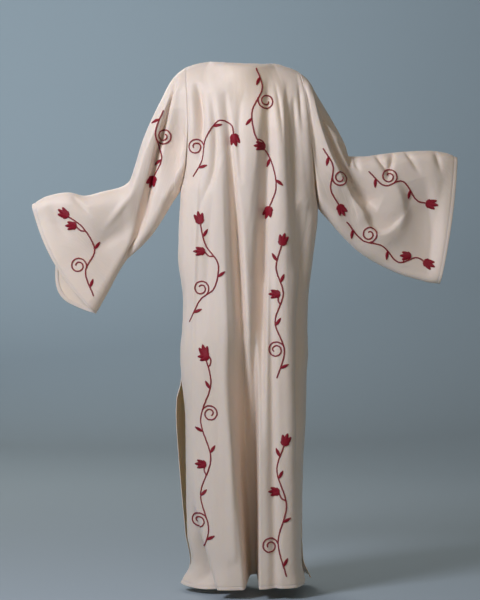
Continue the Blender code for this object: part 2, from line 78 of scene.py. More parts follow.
OUTLINE_COLUMNS = ("down", "left_x", "left_z", "right_x", "right_z", "flare_left", "flare_right")
OUTLINE = {
    "shoulder seam": (0.000, 0.161, -0.014, -0.150, -0.026, 0.000, 0.000),
    "shoulder top": (0.030, 0.163, -0.026, -0.157, -0.038, 0.000, 0.000),
    "shoulder edge": (0.070, 0.163, -0.054, -0.165, -0.068, 0.000, 0.000),
    "blade top": (0.130, 0.160, -0.110, -0.176, -0.125, 0.000, 0.000),
    "blade": (0.210, 0.158, -0.190, -0.186, -0.212, 0.000, 0.000),
    "under blade": (0.300, 0.162, -0.285, -0.198, -0.318, 0.000, 0.000),
    "above underarm": (0.350, 0.170, -0.334, -0.204, -0.378, 0.000, 0.000),
    "underarm": (0.380, 0.178, -0.365, -0.209, -0.416, 0.000, 0.000),
    "waist": (0.560, 0.186, -0.555, -0.194, -0.565, 0.000, 0.000),
    "low waist": (0.680, 0.172, -0.680, -0.181, -0.684, 0.000, 0.000),
    "hip": (0.760, 0.175, -0.760, -0.179, -0.764, 0.002, 0.000),
    "over the slit": (0.820, 0.180, -0.820, -0.181, -0.822, 0.003, 0.000),
    "slit top": (0.880, 0.178, -0.880, -0.177, -0.880, 0.008, 0.000),
    "thigh": (1.010, 0.166, -1.010, -0.174, -1.010, 0.027, 0.000),
    "knee": (1.160, 0.164, -1.160, -0.165, -1.160, 0.019, 0.002),
    "shin": (1.330, 0.161, -1.330, -0.162, -1.330, 0.007, 0.003),
    "ankle": (1.412, 0.150, -1.413, -0.163, -1.410, 0.004, 0.006),
    "hem": (1.472, 0.180, -1.478, -0.174, -1.466, -0.010, 0.018),
}
SECTION_COLUMNS = ("down", "back", "back_edge", "front", "apart", "round", "square_left", "square_right")
SECTION = {
    "shoulder seam": (0.000, 0.000, 0.000, 0.000, 0.000, 1.00, 2.4, 2.4),
    "shoulder top": (0.030, 0.030, 0.024, 0.028, 0.046, 1.00, 2.4, 2.4),
    "shoulder edge": (0.070, 0.064, 0.050, 0.060, 0.096, 1.00, 2.4, 2.4),
    "blade top": (0.130, 0.096, 0.066, 0.090, 0.130, 1.00, 2.4, 2.8),
    "blade": (0.210, 0.114, 0.066, 0.114, 0.134, 0.90, 2.5, 3.4),
    "under blade": (0.300, 0.114, 0.040, 0.120, 0.084, 0.68, 2.7, 4.0),
    "above underarm": (0.350, 0.112, 0.014, 0.120, 0.032, 0.53, 2.8, 4.4),
    "underarm": (0.380, 0.110, 0.000, 0.118, 0.000, 0.46, 2.9, 4.6),
    "waist": (0.560, 0.104, 0.000, 0.114, 0.000, 0.45, 3.0, 5.2),
    "hip": (0.760, 0.116, 0.010, 0.118, 0.000, 0.46, 2.8, 7.5),
    "slit top": (0.880, 0.122, 0.012, 0.122, 0.000, 0.48, 2.6, 10.0),
    "thigh": (1.010, 0.127, 0.016, 0.128, 0.012, 0.52, 2.4, 13.0),
    "knee": (1.160, 0.133, 0.018, 0.134, 0.016, 0.56, 2.4, 13.0),
    "shin": (1.330, 0.141, 0.010, 0.142, 0.016, 0.58, 2.4, 13.0),
    "hem": (1.472, 0.150, -0.026, 0.150, 0.014, 0.58, 2.4, 13.0),
}

# Each row is one fold or crease as it runs, seen square from behind. depth is how far the cloth sinks at
# its start, middle and end, and less than nothing is a ridge. near and far are its half-widths at the end,
# near on the +X side of a fold that runs down, and spread is the share of them at its start. flat is 2 for
# a soft trough, less for a sharp crease and 4 for a trough with steep sides.
FOLD_COLUMNS = (
    "x0", "z0", "x1", "z1", "x2", "z2", "depth0", "depth1", "depth2", "near", "far", "spread", "flat",
)
BACK_FOLDS = {
    "deep back fold": (
        -0.018, -0.780, -0.027, -1.120, -0.033, -1.472,
        0.006, 0.112, 0.170, 0.025, 0.0062, 2.6, 5,
    ),
    "fold over the seat": (
        -0.064, -0.330, -0.053, -0.700, -0.046, -1.060,
        0.002, 0.042, 0.004, 0.038, 0.010, 0.5, 2,
    ),
    "fold by the spine": (
        0.052, -0.110, 0.010, -0.660, -0.004, -1.240,
        0.003, 0.040, 0.006, 0.023, 0.014, 0.5, 2,
    ),
    "fold under the blade": (
        -0.068, -0.070, -0.064, -0.300, -0.050, -0.600,
        0.004, 0.022, 0.008, 0.023, 0.034, 0.4, 2,
    ),
    "fold beside the deep one": (
        -0.070, -0.480, -0.077, -0.920, -0.085, -1.472,
        0.002, 0.012, 0.011, 0.015, 0.012, 0.7, 2,
    ),
    "hollow down the right": (
        -0.174, -0.440, -0.172, -0.860, -0.168, -1.300,
        0.010, 0.030, 0.001, 0.026, 0.028, 1.0, 2,
    ),
    "fold down the arm": (
        -0.154, -0.060, -0.160, -0.120, -0.172, -0.200,
        0.003, 0.008, 0.002, 0.006, 0.010, 0.8, 1.8,
    ),
    "right armhole fold": (
        -0.120, -0.080, -0.140, -0.280, -0.154, -0.560,
        0.004, 0.026, 0.010, 0.022, 0.050, 0.5, 1.8,
    ),
    "left armhole fold": (
        0.130, -0.080, 0.124, -0.170, 0.128, -0.320,
        0.008, 0.024, 0.002, 0.014, 0.010, 0.8, 1.8,
    ),
    "left corner fold": (
        0.150, -1.250, 0.128, -1.370, 0.088, -1.500,
        0.004, 0.040, 0.090, 0.060, 0.012, 1.0, 2,
    ),
}
BACK_CREASES = {
    "crease down the left": (
        0.125, -0.290, 0.137, -0.620, 0.143, -0.980,
        -0.001, -0.0036, -0.001, 0.007, 0.004, 1.0, 1.6,
    ),
    "fold by the left blade": (
        0.090, -0.110, 0.080, -0.250, 0.098, -0.370,
        0.002, 0.011, 0.001, 0.010, 0.008, 1.0, 1.8,
    ),
    "slanting crease": (
        0.064, -0.270, 0.096, -0.350, 0.124, -0.420,
        0.001, 0.005, 0.001, 0.010, 0.006, 1.0, 1.6,
    ),
    "fold over the left hip": (
        0.094, -0.400, 0.100, -0.560, 0.112, -0.760,
        0.001, 0.005, 0.001, 0.016, 0.010, 1.0, 2,
    ),
    "ridge over the spine fold": (
        0.062, -0.300, 0.052, -0.640, 0.026, -1.380,
        -0.001, -0.006, -0.006, 0.020, 0.008, 1.0, 2,
    ),
    "ridge over the right blade": (
        -0.040, -0.070, -0.034, -0.240, -0.008, -0.460,
        -0.002, -0.007, -0.001, 0.034, 0.012, 1.0, 2,
    ),
    "ridge over the right hip": (
        -0.108, -0.310, -0.116, -0.700, -0.120, -1.200,
        -0.001, -0.004, -0.001, 0.024, 0.012, 1.0, 2,
    ),
    "soft fold at the neck": (
        0.004, -0.110, 0.014, -0.200, 0.010, -0.340,
        0.001, 0.004, 0.001, 0.010, 0.008, 1.0, 2,
    ),
    "crease under the right shoulder": (
        -0.086, -0.070, -0.100, -0.140, -0.108, -0.240,
        0.001, 0.006, 0.001, 0.008, 0.005, 1.0, 1.6,
    ),
    "second crease by the armhole": (
        -0.140, -0.110, -0.148, -0.160, -0.158, -0.250,
        0.001, 0.007, 0.001, 0.008, 0.005, 1.0, 1.6,
    ),
}


def named(columns, table):
    """The columns of a table as arrays, by name."""
    return dict(zip(columns, np.array(list(table.values()), float).T))


def smooth(t):
    """0 to 1 with flat ends."""
    t = np.clip(t, 0.0, 1.0)
    return t * t * (3.0 - 2.0 * t)


def unit(vectors):
    return vectors / np.maximum(np.linalg.norm(vectors, axis=-1, keepdims=True), 1e-12)


def through(stations, values, at):
    """A curve through values at the stations that never swings past them, read at the given places."""
    stations = np.asarray(stations, float)
    values = np.asarray(values, float)
    shape = (-1,) + (1,) * (values.ndim - 1)
    step = np.diff(stations).reshape(shape)
    rise = np.diff(values, axis=0) / step
    slope = np.zeros_like(values)
    before, after = rise[:-1], rise[1:]
    same_way = before * after > 0
    both = np.where(same_way, before + after, 1.0)
    slope[1:-1] = np.where(same_way, 2.0 * before * after / both, 0.0)
    slope[0], slope[-1] = rise[0], rise[-1]
    k = np.clip(np.searchsorted(stations, at, side="right") - 1, 0, len(stations) - 2)
    t = ((np.asarray(at, float) - stations[k]) / np.diff(stations)[k]).reshape(shape)
    h = step[k]
    return (
        values[k] * (1 + 2 * t) * (1 - t) ** 2
        + values[k + 1] * t * t * (3 - 2 * t)
        + slope[k] * h * t * (1 - t) ** 2
        + slope[k + 1] * h * t * t * (t - 1)
    )


def evenly(curve, count, edge=(0.0,)):
    """A curve's points again in count steps, all equal apart from those at both ends, which edge gives."""
    length = np.linalg.norm(np.diff(curve, axis=0), axis=1)
    along = np.concatenate([[0.0], np.cumsum(length)])
    edge = np.array(edge)
    between = np.linspace(edge[-1], along[-1] - edge[-1], count + 3 - 2 * len(edge))
    at = np.concatenate([edge, between[1:-1], along[-1] - edge[::-1]])
    return np.stack([np.interp(at, along, curve[:, axis]) for axis in range(3)], axis=1)


def sunk_by(folds, x, z):
    """How far the folds sink the cloth at each place."""
    total = np.zeros_like(x)
    along = np.linspace(0.0, 1.0, 33)
    for row in folds.values():
        fold = dict(zip(FOLD_COLUMNS, row))
        route = []
        for axis in "xz":
            start, middle, end = (fold[axis + place] for place in "012")
            control = 2 * middle - (start + end) / 2
            route.append((1 - along) ** 2 * start + 2 * along * (1 - along) * control + along**2 * end)
        route = np.stack(route, axis=1)
        nearest = np.full(x.shape, 1e9)
        beside, place = np.zeros_like(x), np.zeros_like(x)
        for here, there, start, end in zip(route, route[1:], along, along[1:]):
            way = there - here
            share = np.clip(((x - here[0]) * way[0] + (z - here[1]) * way[1]) / (way @ way), 0.0, 1.0)
            off_x = x - here[0] - share * way[0]
            off_z = z - here[1] - share * way[1]
            away = np.hypot(off_x, off_z)
            closer = away < nearest
            nearest = np.where(closer, away, nearest)
            turned = (off_z * way[0] - off_x * way[1]) / np.linalg.norm(way)
            beside = np.where(closer, turned / np.maximum(away, 1e-9), beside)
            place = np.where(closer, start + share * (end - start), place)
        half = fold["far"] + (fold["near"] - fold["far"]) * (1.0 + beside) / 2
        half = half * (fold["spread"] + (1.0 - fold["spread"]) * place)
        depths = [fold["depth" + place_name] for place_name in "012"]
        depth = through((0.0, 0.5, 1.0), depths, place.ravel()).reshape(x.shape)
        total += depth * np.exp(-((nearest / half) ** fold["flat"]))
    return total


def soft_noise(x, z, wide, tall, seed):
    """Smooth uneven waves between -1 and 1, so wide and so tall."""
    random = np.random.default_rng(seed)
    lattice = random.uniform(-1.0, 1.0, (64, 64))
    u, v = x / wide + 31.3, z / tall + 31.7
    i, j = np.floor(u).astype(int), np.floor(v).astype(int)
    s, t = smooth(u - i), smooth(v - j)
    a, b = lattice[i % 64, j % 64], lattice[(i + 1) % 64, j % 64]
    c, d = lattice[i % 64, (j + 1) % 64], lattice[(i + 1) % 64, (j + 1) % 64]
    return (a * (1 - s) + b * s) * (1 - t) + (c * (1 - s) + d * s) * t


def body_panel(side, folds, creases, columns, seed):
    """The outer face of the back (side 1) or the front (side -1), with a point on each row and column."""
    outline, section = named(OUTLINE_COLUMNS, OUTLINE), named(SECTION_COLUMNS, SECTION)
    rows = np.concatenate([
        np.linspace(0.0, ARMHOLE, ARMHOLE_ROWS + 1),
        np.linspace(ARMHOLE, LENGTH, SKIRT_ROWS + 1)[1:],
    ])
    at = {name: through(outline["down"], outline[name], rows)[:, None] for name in OUTLINE_COLUMNS[1:]}
    at |= {name: through(section["down"], section[name], rows)[:, None] for name in SECTION_COLUMNS[1:]}
    across = -np.sin(np.linspace(-0.5, 0.5, SAMPLES) * np.pi)[None, :] * side
    left, right = at["left_x"], at["right_x"]
    middle, bow = at["back"], at["back_edge"]
    neck_reach, neck_drop = NECK_BACK, NECK_DIP
    if side < 0:
        middle, bow = at["front"], at["apart"] - at["back_edge"]
        neck_reach, neck_drop = NECK_FRONT, NECK_SCOOP
    share = (1.0 + across) / 2
    x = right + (left - right) * share
    if side < 0:
        sewn = 1.0 - smooth((rows[:, None] - SLIT_TOP) / 0.08)
        swing = smooth((np.abs(across) - 0.70) / 0.22) * (1.0 - sewn * smooth((np.abs(across) - 0.93) / 0.07))
        x = x + swing * np.where(across > 0, at["flare_left"], -at["flare_right"])
    square = np.where(across > 0, at["square_left"], at["square_right"])
    crown = np.maximum(1.0 - np.abs(across) ** square, 0.0) ** at["round"]
    out = bow + (middle - bow) * crown
    down = rows[:, None]
    from_neck = (x - NECK_X) / (NECK_HALF * (1.0 + 4.0 * down))
    neck = np.clip(1.0 - from_neck**2, 0.0, 1.0) ** (0.5 + 1.3 * smooth(down / 0.08))
    out = out + neck * neck_reach * (1.0 - smooth(down / 0.16))
    shoulder_point = np.where(x > NECK_X, outline["left_x"][0], -outline["right_x"][0])
    slope = np.clip((shoulder_point - np.abs(x)) / (shoulder_point - NECK_HALF), 0.0, 1.0)
    z = at["right_z"] + (at["left_z"] - at["right_z"]) * share
    z = z + SHOULDER_RISE * (1.0 - (1.0 - slope) ** 1.5) * (1.0 - smooth(down / 0.24))
    z = z - neck_drop * neck * (1.0 - smooth(down / (ARMHOLE + 0.10)))
    y = side * out - SEAM_FORWARD * (1.0 - smooth(down / 0.04))
    base = np.stack([x, y, z], axis=-1)
    normal = unit(np.cross(np.gradient(base, axis=0), np.gradient(base, axis=1)))
    seam = (1.0 - np.abs(across)) * (left - right) / 2
    free = smooth(seam / 0.020) * smooth((down - 0.03) / 0.09)
    sunk = sunk_by(folds, x, z) * free
    fine = sunk_by(creases, x, z) * free
    for more, (depth, wide, tall) in enumerate((SOFT_WAVES, FINE_WAVES)):
        fine = fine + depth * soft_noise(x, z, wide, tall, seed + more) * free
    folded = base - normal * (sunk + fine)[..., None]
    folded[..., 2] += HEM_LIFT * np.maximum(sunk, 0.0) * (down / LENGTH) ** 6
    return np.stack([evenly(row, columns, NEAR_SEAM) for row in folded])


def facing(points, tube=False, side=1.0):
    """The outward direction at each point."""
    if tube:
        around_way = np.roll(points, -1, axis=1) - np.roll(points, 1, axis=1)
        return unit(np.cross(np.gradient(points, axis=0), around_way)) * side
    return unit(np.cross(np.gradient(points, axis=0), np.gradient(points, axis=1)))


def drawn_in(points, normals, sides):
    """The points with the cloth drawn in along its first row, and along both sides where they are sewn."""
    step = np.linalg.norm(np.diff(points, axis=0), axis=2).mean(axis=1)
    away = np.broadcast_to(np.concatenate([[0.0], np.cumsum(step)])[:, None], points.shape[:2])
    if sides:
        step = np.linalg.norm(np.diff(points, axis=1), axis=2)
        across = np.concatenate([np.zeros((len(points), 1)), np.cumsum(step, axis=1)], axis=1)
        away = np.minimum(away, np.minimum(across, across[:, -1:] - across))
    dip = SEAM_DIP * np.exp(-((away / SEAM_REACH) ** 2))
    pucker = PUCKER_DEPTH * soft_noise(points[..., 0], points[..., 2], PUCKER_SIZE, PUCKER_SIZE, 7)
    pucker = pucker * np.exp(-((away / PUCKER_REACH) ** 2))
    return points - normals * (dip + pucker * smooth(away / 0.003))[..., None]


def turned_in(points, normals):
    """The points with the last edge turned in and laid up the inside, stitched through both layers."""
    step = np.linalg.norm(points[-1] - points[-2], axis=1).mean()
    stitched = HEM_WIDTH - HEM_STITCHES
    outside = stitched + np.array([0.0045, 0.0016, 0.0, -0.0016, -0.0040])
    inside = np.array([-0.0009, -0.0006, 0.0012, 0.0035, 0.0060, 0.0085, HEM_WIDTH])
    back_up = np.concatenate([outside, [0.0020, 0.0], inside])
    drawn = [0.0, 0.08, 0.36, 0.08, 0.0]
    folded_under = [0.0, 0.0, 0.25, 0.75, 1.0, 1.0, 1.0, 1.0, 0.96]
    inwards = np.array(drawn + folded_under) * HEM_STEP
    points_kept = points[: len(points) - int(np.ceil((outside[0] + 0.0010) / step))]
    turned = []
    for up, into in zip(back_up, inwards):
        row = len(points) - 1 - up / step
        lower = int(np.clip(np.floor(row), 0, len(points) - 2))
        t = row - lower
        place = points[lower] * (1 - t) + points[lower + 1] * t
        away = unit(normals[lower] * (1 - t) + normals[lower + 1] * t) if t <= 1 else normals[-1]
        turned.append(place - away * into)
    return np.concatenate([points_kept, np.stack(turned)])


def mapped(tree, vector, scale=(1.0, 1.0, 1.0), turn=0.0):
    mapping = tree.nodes.new("ShaderNodeMapping")
    mapping.inputs["Scale"].default_value = scale
    mapping.inputs["Rotation"].default_value = (0.0, 0.0, turn)
    tree.links.new(vector, mapping.inputs["Vector"])
    return mapping.outputs["Vector"]


def noise(tree, vector, scale, detail, distortion=0.0):
    texture = tree.nodes.new("ShaderNodeTexNoise")
    texture.inputs["Scale"].default_value = scale
    texture.inputs["Detail"].default_value = detail
    texture.inputs["Distortion"].default_value = distortion
    tree.links.new(vector, texture.inputs["Vector"])
    return texture.outputs["Fac"]


def raised(tree, height, strength, distance, under=None):
    """The bump that a height gives, laid over the bump under it."""
    bump = tree.nodes.new("ShaderNodeBump")
    bump.inputs["Strength"].default_value = strength
    bump.inputs["Distance"].default_value = distance
    tree.links.new(height, bump.inputs["Height"])
    if under is not None:
        tree.links.new(under, bump.inputs["Normal"])
    return bump.outputs["Normal"]


SATIN_FINISH = {
    "Roughness": 0.50,
    "Specular IOR Level": 0.30,
    "Subsurface Weight": 0.50,
    "Subsurface Radius": (1.0, 0.72, 0.45),
    "Subsurface Scale": 0.005,
    "Sheen Weight": 0.18,
    "Sheen Roughness": 0.45,
    "Sheen Tint": (1.0, 0.93, 0.86, 1.0),
}


def satin(name, tint):
    """Soft satin crepe: a smooth face with drawn threads, light creases and a fine broken grain."""
    material = bpy.data.materials.new(name)
    material.use_nodes = True
    tree = material.node_tree
    shader = tree.nodes["Principled BSDF"]
    for socket, value in SATIN_FINISH.items():
        shader.inputs[socket].default_value = value
    here = mapped(tree, tree.nodes.new("ShaderNodeTexCoord").outputs["Object"])
    shades = tree.nodes.new("ShaderNodeValToRGB")
    darker, full = shades.color_ramp.elements
    darker.position, full.position = 0.30, 0.70
    darker.color = (tint[0] * 0.955, tint[1] * 0.95, tint[2] * 0.935, 1.0)
    full.color = (*tint, 1.0)
    tree.links.new(noise(tree, here, 3.0, 3.0), shades.inputs["Fac"])
    tree.links.new(shades.outputs["Color"], shader.inputs["Base Color"])
    cut = tree.nodes.new("ShaderNodeUVMap")
    cut.uv_map = "cut"
    threads = noise(tree, mapped(tree, cut.outputs["UV"], (150.0, 9.0, 1.0)), 1.0, 4.0)
    creases = noise(tree, mapped(tree, cut.outputs["UV"], (46.0, 15.0, 1.0), 0.35), 1.0, 3.0, 0.6)
    relief = raised(tree, threads, 0.35, 0.0006)
    relief = raised(tree, creases, 0.30, 0.0030, relief)
    relief = raised(tree, noise(tree, here, 900.0, 2.0), 0.14, 0.0004, relief)
    tree.links.new(relief, shader.inputs["Normal"])
    return material


def sew(name, points, flip, tube, material):
    """A sheet of cloth on a grid of points. A tube is the sheet joined along its underarm seam."""
    rows, columns = points.shape[:2]
    if tube:
        points = np.concatenate([points, points[:, :1]], axis=1)
        columns += 1
    bm = bmesh.new()
    bmesh.ops.create_grid(bm, x_segments=columns - 1, y_segments=rows - 1, size=1.0)
    bm.verts.ensure_lookup_table()
    for vert, place in zip(bm.verts, points.reshape(-1, 3)):
        vert.co = place
    if flip:
        bmesh.ops.reverse_faces(bm, faces=bm.faces)
    across = np.concatenate(
        [np.zeros((rows, 1)), np.cumsum(np.linalg.norm(np.diff(points, axis=1), axis=2), axis=1)], axis=1
    )
    along = np.concatenate(
        [np.zeros((1, columns)), np.cumsum(np.linalg.norm(np.diff(points, axis=0), axis=2), axis=0)]
    ).mean(axis=1)
    weave = bm.loops.layers.uv.new("cut")
    bm.verts.index_update()
    for face in bm.faces:
        for loop in face.loops:
            row, column = divmod(loop.vert.index, columns)
            loop[weave].uv = (across[row, column], along[row])
        face.smooth = True
    if tube:
        bmesh.ops.remove_doubles(bm, verts=bm.verts, dist=1e-6)
    mesh = bpy.data.meshes.new(name)
    bm.to_mesh(mesh)
    bm.free()
    mesh.materials.append(material)
    cloth = bpy.data.objects.new(name, mesh)
    bpy.context.scene.collection.objects.link(cloth)
    thick = cloth.modifiers.new("thickness of the cloth", "SOLIDIFY")
    thick.thickness = CLOTH_THICK
    thick.offset = -1.0
    return cloth


CREAM = (0.860, 0.722, 0.618)
back = body_panel(1, BACK_FOLDS, BACK_CREASES, BACK_COLUMNS, seed=3)
back_out = facing(back)
back_hemmed = turned_in(drawn_in(back, back_out, sides=True), back_out)
back_satin = satin("cream satin of the back", CREAM)
back_cloth = sew("back_panel", back_hemmed, flip=True, tube=False, material=back_satin)
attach(back_cloth, "root")
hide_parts("back")

# The front panel
# The front is cut like the back, with the neck scooped out lower. It is sewn to the back along the
# shoulders and down each side as far as the slits, and its left edge swings out past the back there.
FRONT_COLUMNS = 112
FRONT_FOLDS = {
    "middle front fold": (
        0.010, -0.330, -0.004, -0.900, -0.022, -1.472,
        0.003, 0.030, 0.070, 0.026, 0.024, 1.00, 2,
    ),
    "left front fold": (
        0.074, -0.300, 0.086, -0.860, 0.090, -1.472,
        0.003, 0.022, 0.046, 0.022, 0.020, 1.00, 2,
    ),
    "right front fold": (
        -0.080, -0.280, -0.092, -0.900, -0.104, -1.472,
        0.003, 0.026, 0.055, 0.020, 0.024, 1.00, 2,
    ),
}
FRONT_CREASES = {
    "crease over the left chest": (
        0.120, -0.120, 0.104, -0.260, 0.112, -0.480,
        0.002, 0.007, 0.001, 0.014, 0.012, 1.00, 2,
    ),
    "crease over the right chest": (
        -0.118, -0.120, -0.110, -0.290, -0.124, -0.520,
        0.002, 0.007, 0.001, 0.012, 0.014, 1.00, 2,
    ),
}
front = body_panel(-1, FRONT_FOLDS, FRONT_CREASES, FRONT_COLUMNS, seed=11)
front_out = facing(front)
front_hemmed = turned_in(drawn_in(front, front_out, sides=True), front_out)
front_satin = satin("cream satin of the front", CREAM)
front_cloth = sew("front_panel", front_hemmed, flip=True, tube=False, material=front_satin)
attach(front_cloth, "root")
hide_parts("front")

# The left sleeve
# A straight wide tube of the same satin, set into the armhole and as wide at the cuff. It hangs from its
# upper edge with a long crease from the shoulder to the fold under the elbow. The cuff is turned in and
# sewn.
SLEEVE_RINGS = 184
SLEEVE_WAVES = (0.0014, 0.05, 0.06)  # depth, width and height
SLEEVE_COLUMNS = ("top_x", "top_z", "low_x", "low_z", "depth", "arm", "hang", "back_bow", "front_bow")
LEFT_SLEEVE = {
    "shoulder point": (0.188, -0.036, 0.186, -0.378, 0.000, 0.058, 0.048, 0.000, 0.000),
    "shoulder": (0.209, -0.061, 0.199, -0.396, -0.001, 0.056, 0.046, 0.000, 0.000),
    "upper arm": (0.232, -0.105, 0.215, -0.422, -0.003, 0.054, 0.044, 0.000, 0.000),
    "middle arm": (0.260, -0.160, 0.235, -0.455, -0.007, 0.054, 0.041, 0.000, 0.000),
    "lower arm": (0.289, -0.228, 0.263, -0.494, -0.013, 0.052, 0.035, 0.000, 0.000),
    "above the elbow": (0.311, -0.298, 0.288, -0.521, -0.019, 0.050, 0.030, 0.000, 0.000),
    "elbow": (0.326, -0.339, 0.310, -0.541, -0.021, 0.049, 0.028, 0.001, 0.001),
    "under the elbow": (0.350, -0.355, 0.332, -0.561, -0.022, 0.048, 0.026, 0.002, 0.003),
    "forearm": (0.402, -0.368, 0.356, -0.598, -0.018, 0.046, 0.024, 0.006, 0.010),
    "middle forearm": (0.453, -0.380, 0.378, -0.641, -0.012, 0.043, 0.024, 0.011, 0.023),
    "wrist": (0.497, -0.371, 0.391, -0.665, -0.008, 0.038, 0.026, 0.016, 0.038),
    "hand": (0.555, -0.381, 0.406, -0.692, -0.006, 0.030, 0.028, 0.023, 0.056),
    "cuff": (0.600, -0.405, 0.419, -0.715, -0.006, 0.020, 0.027, 0.028, 0.070),
}
LEFT_SLEEVE_BACK = {
    "long crease": (0.196, -0.062, 0.259, -0.325, 0.330, -0.572, 0.008, 0.026, 0.018, 0.008, 0.011, 0.6, 1.6),
    "valley under the elbow": (
        0.326, -0.456, 0.377, -0.503, 0.430, -0.532,
        0.001, 0.004, 0.001, 0.016, 0.018, 1.0, 2,
    ),
    "elbow ridge": (
        0.310, -0.366, 0.350, -0.420, 0.392, -0.470,
        -0.001, -0.005, -0.001, 0.010, 0.010, 1.0, 2,
    ),
    "hand hollow": (0.546, -0.412, 0.524, -0.462, 0.490, -0.508, 0.001, 0.006, 0.001, 0.014, 0.014, 1.0, 2),
    "wrist tuck": (0.478, -0.389, 0.457, -0.412, 0.434, -0.436, 0.003, 0.005, 0.001, 0.009, 0.007, 1.0, 1.6),
    "fold by the body": (
        0.170, -0.140, 0.180, -0.260, 0.190, -0.390,
        0.006, 0.034, 0.008, 0.076, 0.018, 0.9, 2,
    ),
}
LEFT_SLEEVE_FRONT = {
    "long crease": (0.200, -0.090, 0.268, -0.320, 0.330, -0.540, 0.006, 0.020, 0.010, 0.012, 0.012, 0.7, 1.6),
    "forearm hollow": (
        0.400, -0.430, 0.430, -0.510, 0.440, -0.590,
        0.002, 0.010, 0.002, 0.020, 0.020, 1.0, 2,
    ),
    "elbow ridge": (
        0.314, -0.360, 0.350, -0.420, 0.380, -0.500,
        -0.001, -0.006, -0.001, 0.012, 0.012, 1.0, 2,
    ),
    "hand hollow": (0.540, -0.412, 0.518, -0.470, 0.484, -0.530, 0.001, 0.006, 0.001, 0.014, 0.014, 1.0, 2),
}


def sleeve_loop(section, columns):
    """One ring of a sleeve: down the back layer from the arm to the hanging edge, and up the front layer."""
    top = np.array([section["top_x"], section["depth"], section["top_z"]])
    low = np.array([section["low_x"], section["depth"], section["low_z"]])
    chord = low - top
    length = np.linalg.norm(chord)
    outward = np.array([-chord[2], 0.0, chord[0]]) / length * np.sign(section["top_x"])
    h = (1.0 - np.cos(np.linspace(0.0, np.pi, SAMPLES))) / 2
    arm, hang = section["arm"], section["hang"]
    top_end = np.minimum(h * length / arm, 1.0)
    low_end = np.minimum((1.0 - h) * length / (1.3 * hang), 1.0)
    thick = hang + (arm - hang) * (1.0 - smooth((h - arm / length) / 0.45))
    thick = thick * np.sqrt(1 - (1 - top_end) ** 2) * np.sqrt(1 - (1 - low_end) ** 2)
    bulge = (4 * h * (1 - h))[:, None] * outward
    sag = 1.25 * smooth((h[:, None] - 0.28) / 0.55)  # the front layer hangs out low down
    behind = np.array([0.0, 1.0, 0.0])
    line = top + chord * h[:, None]
    back_layer = evenly(line + bulge * section["back_bow"] + behind * thick[:, None], columns)
    front_layer = evenly(line + bulge * sag * section["front_bow"] - behind * thick[:, None], columns)
    return np.concatenate([back_layer, front_layer[-2:0:-1]])


def sleeve(armhole, table, back_folds, front_folds, seed):
    """The outer face of a sleeve as rings of points, the first of them the armhole of the body."""
    columns = ARMHOLE_ROWS
    sections = [dict(zip(SLEEVE_COLUMNS, row)) for row in table.values()]
    loops = np.stack([armhole] + [sleeve_loop(section, columns) for section in sections])
    apart = np.linalg.norm(np.diff(loops, axis=0), axis=-1).mean(axis=1)
    stations = np.concatenate([[0.0], np.cumsum(apart)])
    at = np.concatenate([NEAR_SEAM[:-1], np.linspace(NEAR_SEAM[-1], stations[-1], SLEEVE_RINGS + 1)])
    base = through(stations, loops, at)
    normal = facing(base, tube=True, side=np.sign(sections[-1]["top_x"]))
    sunk = np.zeros(base.shape[:2])
    x, z = base[..., 0], base[..., 2]
    behind, before = slice(0, columns + 1), slice(columns, None)
    sunk[:, behind] = sunk_by(back_folds, x[:, behind], z[:, behind])
    sunk[:, before] = sunk_by(front_folds, x[:, before], z[:, before])
    depth, wide, tall = SLEEVE_WAVES
    sunk[:, behind] += depth * soft_noise(x[:, behind], z[:, behind], wide, tall, seed)
    sunk[:, before] += depth * soft_noise(x[:, before], z[:, before], wide, tall, seed + 1)
    around = np.arange(2 * columns)
    from_edge = np.minimum(around % columns, columns - around % columns)[None, :] / columns
    sunk = sunk * smooth(from_edge / 0.09) * smooth(at / 0.04)[:, None]
    return base - normal * sunk[..., None]


def armhole_of(left):
    """The ring where a sleeve starts: down the back panel's edge to the underarm and up the front panel's."""
    behind = back[: ARMHOLE_ROWS + 1, 0 if left else -1]
    before = front[ARMHOLE_ROWS - 1 : 0 : -1, -1 if left else 0]
    return np.concatenate([behind, before])


def from_underarm(points):
    """The same rings, each starting at the underarm seam."""
    return np.roll(points, -ARMHOLE_ROWS, axis=1)


left = sleeve(armhole_of(True), LEFT_SLEEVE, LEFT_SLEEVE_BACK, LEFT_SLEEVE_FRONT, seed=21)
left_out = facing(left, tube=True, side=1.0)
left_hemmed = from_underarm(turned_in(drawn_in(left, left_out, sides=False), left_out))
left_satin = satin("cream satin of the left sleeve", CREAM)
left_cloth = sew("left_sleeve", left_hemmed, flip=True, tube=True, material=left_satin)
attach(left_cloth, "root")
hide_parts("sleeve_left")

